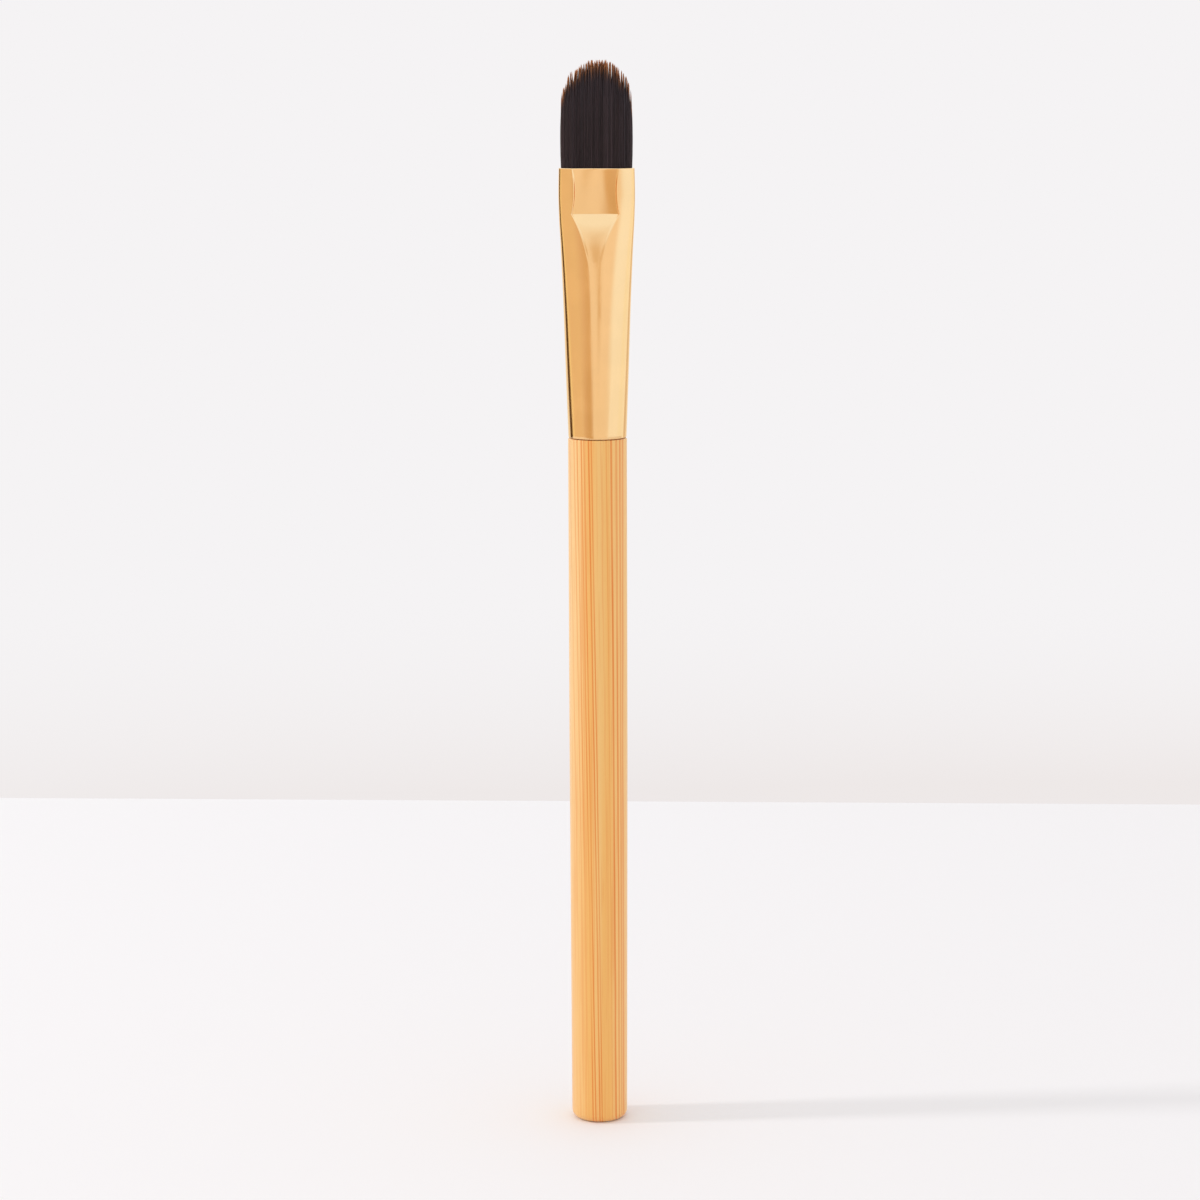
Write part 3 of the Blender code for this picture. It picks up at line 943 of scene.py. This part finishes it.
def filament_lengths(look, x, y, lock, distance, random):
    """The dome's height over each root, and the length of each filament.

    The dome's peak lies a little to one side. A filament falls short of it with its lock, by itself, and
    the more, the further it is from its lock's middle. The one nearest to the peak has the full length.
    """
    shifted = x - look.dome_shift * (1 - (x / np.abs(x).max()) ** 2)
    across = np.clip(np.abs(shifted) / np.abs(x).max(), 0, 1)
    full = TUFT_LENGTH - look.dome_height * smooth_curves(TUFT_DOME, across)[0]
    full = full + DOME_RAISE * look.ragged - look.dome_depth * (y / np.abs(y).max()) ** 2
    lock_short = random.exponential(LOCK_SHORT, look.locks)[lock]
    short = look.ragged * (lock_short + random.exponential(FILAMENT_SHORT, len(x)))
    length = np.clip(full - short - look.lock_point * distance, SHORTEST * TUFT_LENGTH, TUFT_LENGTH)
    length[np.argmin(shifted**2 + y**2)] = TUFT_LENGTH
    return full, length


def filament_lines(look, roots, way, height, full, random):
    """Places in x and y along each filament: its root's place times the tuft's spread at that height.

    It leans a little at random, draws towards the middle of its lock near the tip, gives way to the
    partings, and is pressed together with the others between the panels.
    """
    x, y, pressed = (values[:, None] for values in roots)
    way_x, way_y = (values[:, None] for values in way)
    share = height / TUFT_LENGTH
    wide, deep = smooth_curves(TUFT_SPREAD, share)
    gather = smoothstep(*GATHER_SHARES, height / full[:, None])
    lean = random.normal(0, TIP_LEAN, (2, len(x), 1)) * share**2
    line_x = x * wide + way_x * look.clump * gather + lean[0]
    for place, half_width, reach_down in PARTINGS:
        aside = x - place
        push = np.sign(aside) * half_width * np.exp(-np.abs(aside) / (PARTING_FADE * half_width))
        line_x = line_x + push * smoothstep(-reach_down, 0, height - full[:, None])
    fanned = pressed + (1 - pressed) * smoothstep(0, FAN_HEIGHT, height)
    line_y = (y + way_y * look.clump * CLUMP_DEPTH * gather) * deep * fanned + lean[1] * deep
    return line_x, line_y


def rod_faces(count, levels):
    """Faces of three-sided rods, each with its rings of points level by level and then its tip."""
    start = np.arange(count)[:, None] * (3 * levels + 1)
    side = np.arange(3)
    after = (side + 1) % 3
    low = start[:, :, None] + np.arange(levels - 1)[None, :, None] * 3
    quads = np.stack([low + side, low + after, low + 3 + after, low + 3 + side], -1).reshape(-1, 4)
    top = start + (levels - 1) * 3
    peak = np.broadcast_to(start + levels * 3, (count, 3))
    peaks = np.stack([top + side, top + after, peak], -1).reshape(-1, 3)
    feet = start + np.array([2, 1, 0])
    return quads, peaks, feet


def make_filaments(look, ferrule):
    """Each filament is a three-sided rod along a gently curved line, closed at its foot and to a point.
    Its brown stretch is the shorter, the further it stops short of the dome."""
    random = np.random.default_rng(23)
    roots = bundle_places(look, ferrule)
    x, y, _ = roots
    count = len(x)
    lock, distance, *way = choose_locks(look, x, y, random)
    full, length = filament_lengths(look, x, y, lock, distance, random)
    shares, widths = np.array(FILAMENT_TAPER).T
    height = length[:, None] * shares
    line_x, line_y = filament_lines(look, roots, way, height, full, random)
    line_z = height - look.slice_drop * (1 - shares) ** 4

    turn = random.uniform(0, 2 * math.pi, (count, 1, 1)) + np.arange(3) * 2 * math.pi / 3
    radius = look.thickness / 2 * widths[:, None] * random.uniform(*THICKNESS_RANGE, (count, 1, 1))
    ring_x = line_x[..., None] + radius * np.cos(turn)
    ring_y = line_y[..., None] + radius * np.sin(turn)
    ring = np.stack([ring_x, ring_y, np.repeat(line_z[..., None], 3, -1)], -1)
    # The point continues the line from its last two levels
    onward = (1 - shares[-1]) / (shares[-1] - shares[-2])
    tip_x = line_x[:, -1] + (line_x[:, -1] - line_x[:, -2]) * onward
    tip_y = line_y[:, -1] + (line_y[:, -1] - line_y[:, -2]) * onward
    tip = np.stack([tip_x, tip_y, length], -1)
    points = np.concatenate([ring.reshape(count, -1, 3), tip[:, None, :]], 1)
    points[..., 2] = np.minimum(points[..., 2] + MOUTH_HEIGHT, TIP_HEIGHT)
    piece = new_piece("bristles", points.reshape(-1, 3), *rod_faces(count, len(shares)))

    cut = TIP_CUT * np.clip(full - length, 0, None)[:, None]
    from_tip = np.concatenate([np.repeat(length[:, None] - height, 3, 1), np.zeros((count, 1))], 1)
    tone = (1 - LOCK_TONE) * random.random(count) + LOCK_TONE * random.random(look.locks)[lock]
    point_values(piece, "from_tip", from_tip + cut)
    point_values(piece, "tone", np.repeat(tone[:, None], points.shape[1], 1))
    return piece


def make_resin(name, ferrule, top, bottom):
    """A plug of resin between two drops below the mouth: the wall's inner outline, closed at both ends."""
    drops = np.linspace(top, bottom, PLUG_ROWS)
    insets = np.full(len(drops), ferrule.wall + RESIN_GAP)
    return capped_piece(name, ferrule_rings(ferrule, drops, insets))


# Stage

def make_table(look):
    """A slab with its top at the height of the butt, its back edge nearly square to the camera, and
    rounded edges."""
    front, side, thickness, edge = 0.45, 0.60, 0.02, 0.002
    angle = np.linspace(0, math.pi / 2, 5)
    drop = np.append(edge * (1 - np.cos(angle)), thickness)
    grow = np.append(edge * np.sin(angle), edge) - edge
    x = np.array([-1, 1, 1, -1]) * (side + grow[:, None])
    y = np.array([-front, -front, look.table_back, look.table_back]) + [-1, -1, 1, 1] * grow[:, None]
    cos, sin = math.cos(look.table_skew), math.sin(look.table_skew)
    z = np.repeat(BUTT_HEIGHT - drop[:, None], 4, 1)
    points = np.stack([x * cos - y * sin, x * sin + y * cos, z], -1).reshape(-1, 3)
    last = len(points) - 4
    walls = grid_faces(len(drop), 4)[:, ::-1]
    caps = np.array([[0, 1, 2, 3], [last + 3, last + 2, last + 1, last]])
    table = new_piece("table", points, walls, caps)
    table.data.set_sharp_from_angle(angle=math.radians(30))
    table.data.materials.append(table_finish(look))


def mirrored_room(room, direction):
    """What metal mirrors: the parts of the room by degrees round the brush, from low to level by degrees
    up. The light part's left edge leans, the ceiling is bright, and a dark card stands in front."""
    x, y, z = room.split(direction)
    around = room.times(room.math("ARCTAN2", x, room.times(y, -1.0)), math.degrees(1))
    up = room.times(room.math("ARCSINE", z), math.degrees(1))
    lean = room.spread(up, *LEAN_UP, 0, LEAN, smooth=False)
    lean = room.times(lean, room.spread(around, *LEAN_AROUND, 1, 0))
    level = room.ramp(room.math("ADD", around, lean), LEFT_PART + LEVEL_PART + RIGHT_PART)
    lower = room.ramp(around, LEFT_PART + LOWER_PART + RIGHT_PART)
    light = room.mix(room.spread(up, *LEVEL_UP, smooth=False), lower, level)
    light = room.mix(room.spread(up, *CEILING_UP), light, CEILING)
    middle = room.spread(up, *CARD_UP, *CARD_MIDDLES, smooth=False)
    card = room.spread(room.apart(around, middle), *CARD_EDGE, 1, 0)
    card = room.times(card, room.spread(up, *CARD_START))
    card = room.times(card, room.spread(up, *CARD_FADE, 1, 0))
    return room.mix(card, light, CARD)


def make_studio(look):
    """World light. The camera sees the pale wall, which painted shade darkens towards the table, metal
    mirrors the room, and everything else gets even light."""
    world = bpy.data.worlds.new("studio")
    bpy.context.scene.world = world
    world.use_nodes = True
    world.node_tree.nodes.clear()
    room = Nodes(world.node_tree)
    direction = room.add("ShaderNodeTexCoord", {})["Generated"]
    x, _, z = room.split(direction)
    # Painted shade on the wall: darker towards its foot, and more so on the right
    foot = room.math("POWER", room.spread(room.math("ARCSINE", z), *WALL_SHADE_UP, 1, 0, smooth=False), 2)
    foot = room.times(foot, room.spread(x, *WALL_SIDES, *WALL_SHADE_STRENGTHS, smooth=False))
    seen = room.background(room.mix(foot, look.wall_top, look.wall_painted_shade))
    metal = room.background(mirrored_room(room, direction))
    fill = room.background((1, 0.99, 0.985), look.fill)
    path = room.add("ShaderNodeLightPath", {})
    light = room.choose(path["Is Glossy Ray"], fill, metal)
    light = room.choose(path["Is Camera Ray"], light, seen)
    room.add("ShaderNodeOutputWorld", {"Surface": light})


def make_key(look):
    """A tall narrow lamp on the left, which gives the long soft shadow to the right."""
    lamp = bpy.data.lights.new("key", "AREA")
    lamp.shape = "RECTANGLE"
    lamp.size, lamp.size_y = 0.10, 0.60
    lamp.energy = look.key
    key = bpy.data.objects.new("key", lamp)
    turn = look.camera_turn - math.radians(85.5)
    rise = math.radians(36)
    distance = 1.3
    aim = Vector((0, 0, 0.05))
    away = Vector((math.sin(turn) * math.cos(rise), -math.cos(turn) * math.cos(rise), math.sin(rise)))
    key.location = aim + distance * away
    key.rotation_euler = (-away).to_track_quat("-Z", "Y").to_euler()
    key.visible_camera = False
    key.visible_glossy = False
    bpy.context.scene.collection.objects.link(key)


def make_camera(look):
    """A camera at the height of the tips that looks slightly down."""
    lens = bpy.data.cameras.new("camera")
    lens.sensor_width = 36
    lens.lens = look.lens
    camera = bpy.data.objects.new("camera", lens)
    turn = look.camera_turn
    away = look.camera_distance
    camera.matrix_world = (
        Matrix.Translation((away * math.sin(turn), -away * math.cos(turn), look.camera_height))
        @ Matrix.Rotation(turn + look.camera_yaw, 4, "Z")
        @ Matrix.Rotation(math.pi / 2 - look.camera_tilt, 4, "X")
        @ Matrix.Rotation(look.camera_roll, 4, "Z")
    )
    bpy.context.scene.collection.objects.link(camera)
    bpy.context.scene.camera = camera


class MakeHandle(bpy.types.Operator):
    """Makes the turned bamboo handle"""

    bl_idname = "brush.make_handle"
    bl_label = "Handle"

    def execute(self, context):
        look = context.scene.brush_handle
        dress(make_handle(look), bamboo_finish(look), "bamboo", "handle")
        return {"FINISHED"}


class MakeFerrule(bpy.types.Operator):
    """Makes the pressed gold ferrule"""

    bl_idname = "brush.make_ferrule"
    bl_label = "Ferrule"

    def execute(self, context):
        look = context.scene.brush_ferrule
        dress(make_ferrule(look), gold_finish(look), "gold_metal", "ferrule")
        return {"FINISHED"}


class MakeTuft(bpy.types.Operator):
    """Makes the filaments and the slice of resin that they stand in"""

    bl_idname = "brush.make_tuft"
    bl_label = "Tuft"

    def execute(self, context):
        look = context.scene.brush_tuft
        ferrule = context.scene.brush_ferrule
        dress(make_filaments(look, ferrule), filament_finish(look), "filament", "bristle_tuft")
        slice_foot = look.slice_drop + look.slice_thickness
        root = make_resin("bristle_root", ferrule, look.slice_drop, slice_foot)
        dress(root, resin_finish("root_resin", look.resin), "resin", "bristle_tuft")
        return {"FINISHED"}


class MakeBonds(bpy.types.Operator):
    """Makes the resin bed, and gives the glue inside the ferrule its material"""

    bl_idname = "brush.make_bonds"
    bl_label = "Resin and glue"

    def execute(self, context):
        look = context.scene.brush_tuft
        low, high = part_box("resin_bed")
        drops = (MOUTH_HEIGHT - high.z, MOUTH_HEIGHT - low.z)
        plug = make_resin("resin_plug", context.scene.brush_ferrule, *drops)
        dress(plug, resin_finish("resin_cured", look.resin), "resin", "resin_bed")
        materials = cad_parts["handle_glue"].data.materials
        materials.clear()
        materials.append(resin_finish("glue_cured", look.glue))
        return {"FINISHED"}


class SetStage(bpy.types.Operator):
    """Makes the table, the light and the camera"""

    bl_idname = "brush.set_stage"
    bl_label = "Stage"

    def execute(self, context):
        look = context.scene.brush_stage
        make_table(look)
        make_studio(look)
        make_key(look)
        make_camera(look)
        context.scene.view_settings.view_transform = "Standard"
        return {"FINISHED"}


class BrushPanel(bpy.types.Panel):
    """Lists the pieces of the brush and their settings"""

    bl_idname = "VIEW3D_PT_brush"
    bl_label = "Concealer brush"
    bl_space_type = "VIEW_3D"
    bl_region_type = "UI"
    bl_category = "Brush"

    def draw(self, context):
        for title, operators, settings in SECTIONS:
            box = self.layout.box()
            box.label(text=title)
            group = getattr(context.scene, settings)
            for name in group.bl_rna.properties.keys():
                if name not in ("rna_type", "name"):
                    box.prop(group, name)
            for operator in operators:
                box.operator(operator)


SECTIONS = (
    ("Handle", ("brush.make_handle",), "brush_handle"),
    ("Ferrule", ("brush.make_ferrule",), "brush_ferrule"),
    ("Tuft", ("brush.make_tuft", "brush.make_bonds"), "brush_tuft"),
    ("Stage", ("brush.set_stage",), "brush_stage"),
)
SETTINGS = (
    ("brush_handle", HandleLook),
    ("brush_ferrule", FerruleLook),
    ("brush_tuft", TuftLook),
    ("brush_stage", StageLook),
)
CLASSES = (
    HandleLook, FerruleLook, TuftLook, StageLook, MakeHandle, MakeFerrule, MakeTuft, MakeBonds,
    SetStage, BrushPanel,
)


def register():
    for item in CLASSES:
        bpy.utils.register_class(item)
    for name, group in SETTINGS:
        setattr(bpy.types.Scene, name, PointerProperty(type=group))


def unregister():
    for name, group in SETTINGS:
        delattr(bpy.types.Scene, name)
    for item in reversed(CLASSES):
        bpy.utils.unregister_class(item)


def main():
    register()
    bpy.ops.brush.make_handle()
    bpy.ops.brush.make_ferrule()
    bpy.ops.brush.make_tuft()
    bpy.ops.brush.make_bonds()
    bpy.ops.brush.set_stage()


if __name__ == "__main__":
    main()
